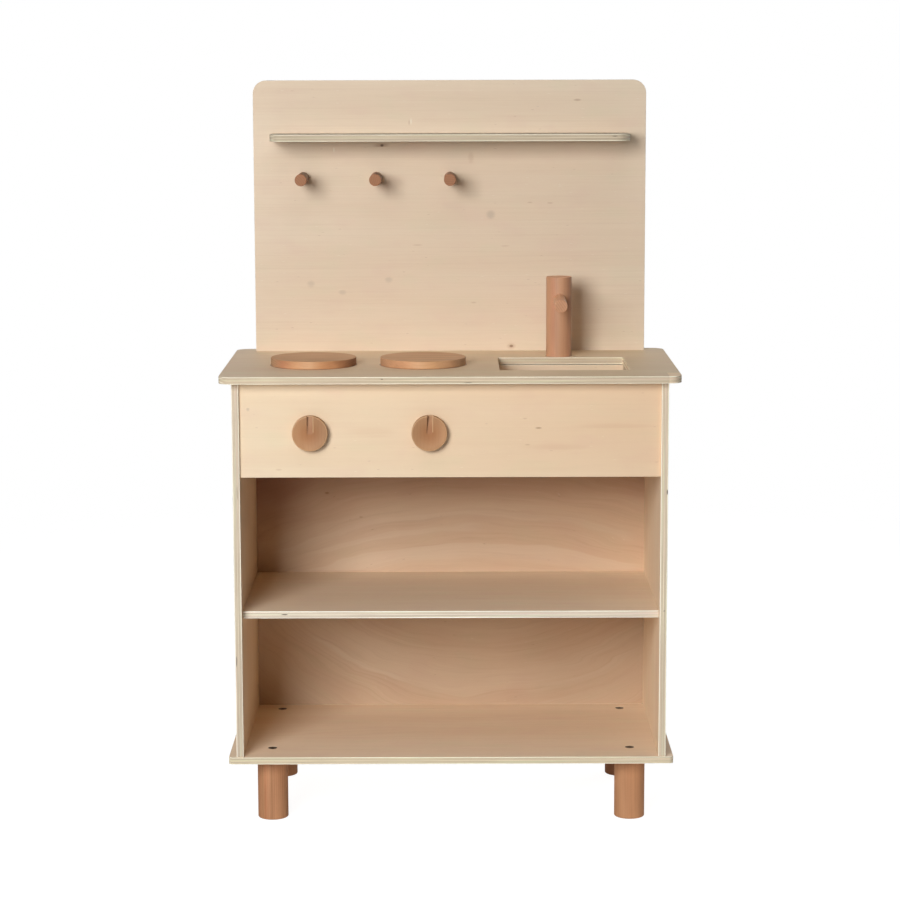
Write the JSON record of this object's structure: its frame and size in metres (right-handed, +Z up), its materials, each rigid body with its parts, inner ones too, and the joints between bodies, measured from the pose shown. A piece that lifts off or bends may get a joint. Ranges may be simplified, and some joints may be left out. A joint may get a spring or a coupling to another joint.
{
  "type": "play kitchen",
  "caption": "Wooden play kitchen: open plywood cabinet on dowel legs with worktop, sink, disc hotplates, turning knobs, dowel tap, tall back board with pegs and a narrow shelf.",
  "frame": {"origin": "on the floor under the middle of the worktop, at the bottom centre of the whole object", "axes": "+Z up, -Y towards the child at the front, +X to the right seen from the front"},
  "size_m": [0.629, 0.342, 1.027],
  "materials": {
    "plywood": "pale poplar plywood, clear matt lacquer, eased edges",
    "beech": "turned beech, clear matt oil",
    "steel": "zinc plated",
    "insert_brass": "plain turned",
    "felt": "thin wool felt"
  },
  "bodies": {
    "cabinet": {"back_board": "plywood", "back_board_dowels": "beech", "base_plate": "plywood", "base_screws": "steel", "fascia_dowels": "beech", "fascia_panel": "plywood", "hotplate_left": "beech", "hotplate_right": "beech", "hotplate_screws": "steel", "leg_bolts": "steel", "leg_front_left": "beech", "leg_front_right": "beech", "leg_inserts": "insert_brass", "leg_rear_left": "beech", "leg_rear_right": "beech", "middle_shelf": "plywood", "peg_left": "beech", "peg_middle": "beech", "peg_right": "beech", "peg_screws": "steel", "shelf_dowels": "beech", "shelf_screws": "steel", "side_panel_left": "plywood", "side_panel_right": "plywood", "sink_dowels": "beech", "sink_floor": "plywood", "sink_screws": "steel", "sink_wall_front": "plywood", "sink_wall_left": "plywood", "sink_wall_rear": "plywood", "sink_wall_right": "plywood", "upper_shelf": "plywood", "upper_shelf_screws": "steel", "worktop": "plywood", "worktop_dowels": "beech"},
    "knob_left": {"knob_felt_left": "felt", "knob_left": "beech", "knob_lock_nut_left": "steel", "knob_stud_left": "steel", "knob_washer_left": "steel"},
    "knob_right": {"knob_felt_right": "felt", "knob_lock_nut_right": "steel", "knob_right": "beech", "knob_stud_right": "steel", "knob_washer_right": "steel"},
    "tap": {"tap_bolt": "steel", "tap_column": "beech", "tap_insert": "insert_brass", "tap_spout": "beech", "tap_washer": "steel"}
  },
  "joints": [
    {"name": "knob_left_turn", "type": "hinge", "parent": "cabinet", "child": "knob_left", "pos_m": [-0.1912, -0.146, 0.5537], "axis": [0, 1, 0], "continuous": true},
    {"name": "knob_right_turn", "type": "hinge", "parent": "cabinet", "child": "knob_right", "pos_m": [-0.0284, -0.146, 0.5537], "axis": [0, 1, 0], "continuous": true},
    {"name": "tap_swivel", "type": "hinge", "parent": "cabinet", "child": "tap", "pos_m": [0.1568, 0.0736, 0.6332], "axis": [0, 0, 1], "range_deg": [-120, 120]}
  ]
}
